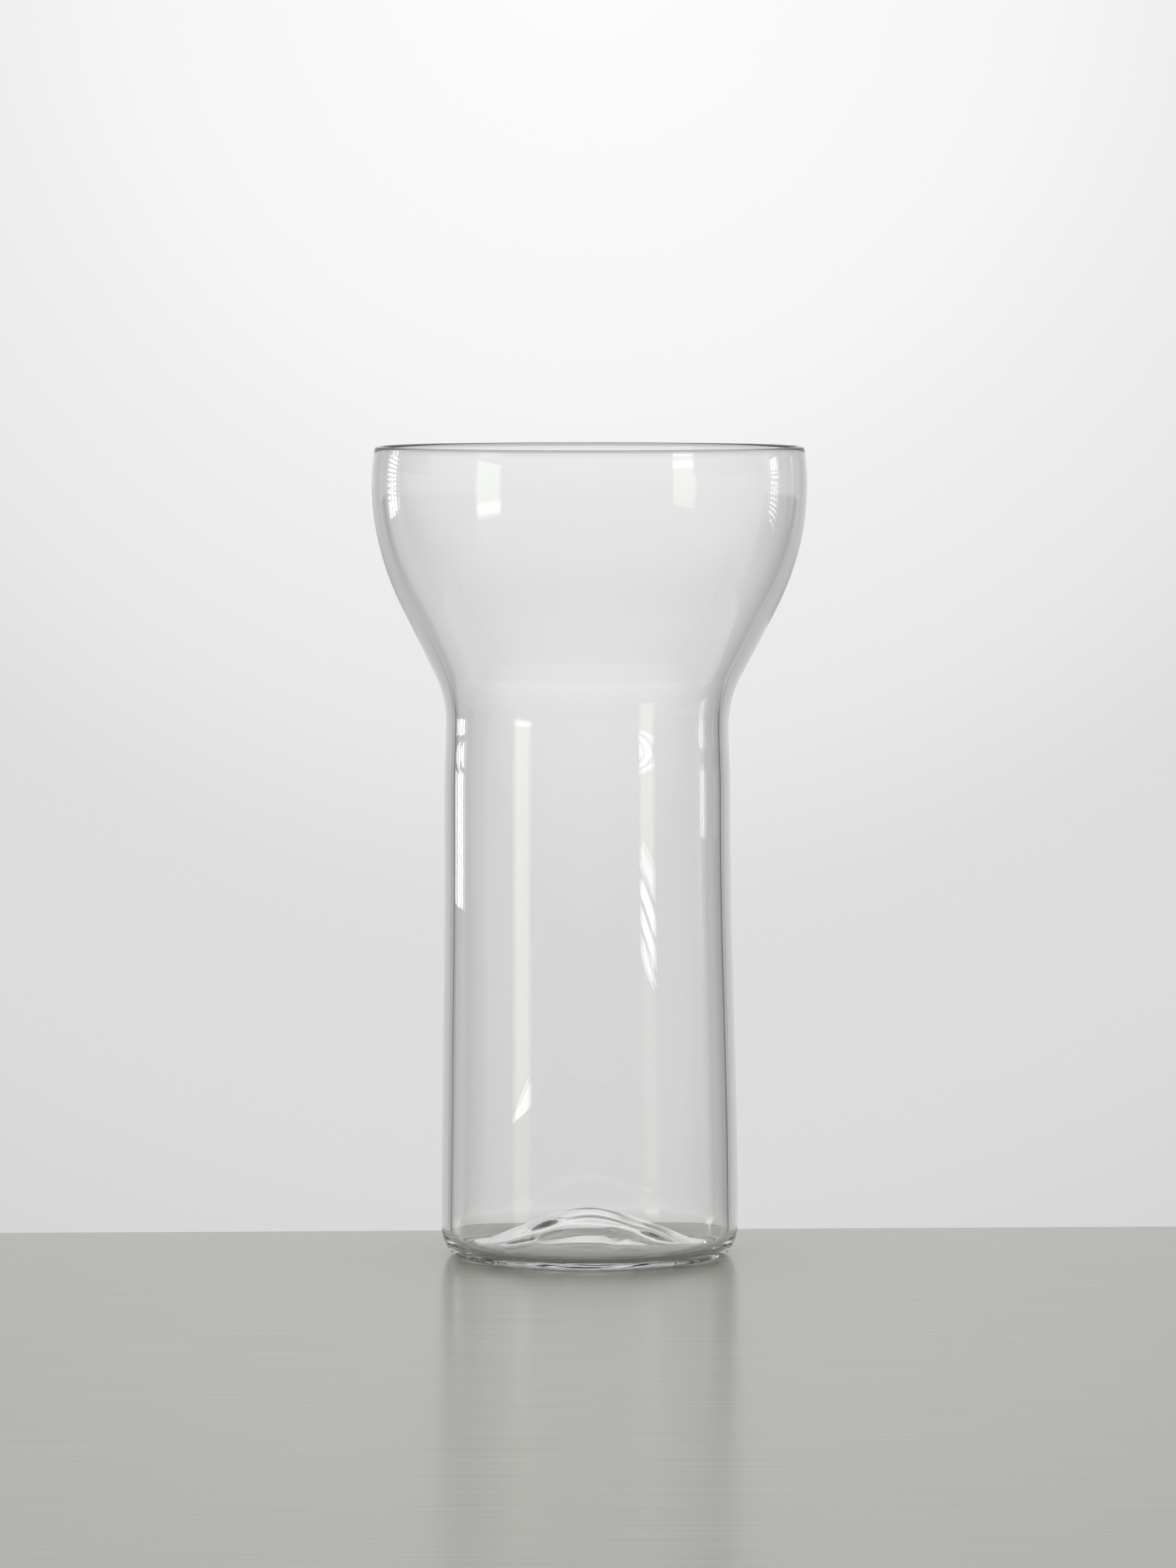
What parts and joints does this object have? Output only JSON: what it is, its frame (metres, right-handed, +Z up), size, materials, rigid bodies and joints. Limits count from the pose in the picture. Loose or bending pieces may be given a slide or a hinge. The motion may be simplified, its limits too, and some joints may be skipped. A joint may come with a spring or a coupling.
{
  "type": "mixing glass",
  "caption": "Hand-blown clear glass stirring vessel: straight body, narrow neck, flared bowl-shaped mouth and a pushed-up base that stands on a ring.",
  "frame": {"origin": "centre of the ring that the glass stands on, at the surface it stands on", "axes": "+Z up along the glass's axis of revolution; X and Y are alike, because the glass is round"},
  "size_m": [0.099, 0.099, 0.184],
  "materials": {
    "clear_glass": "polished"
  },
  "bodies": {
    "root": {"glass_vessel": "clear_glass"}
  },
  "joints": []
}
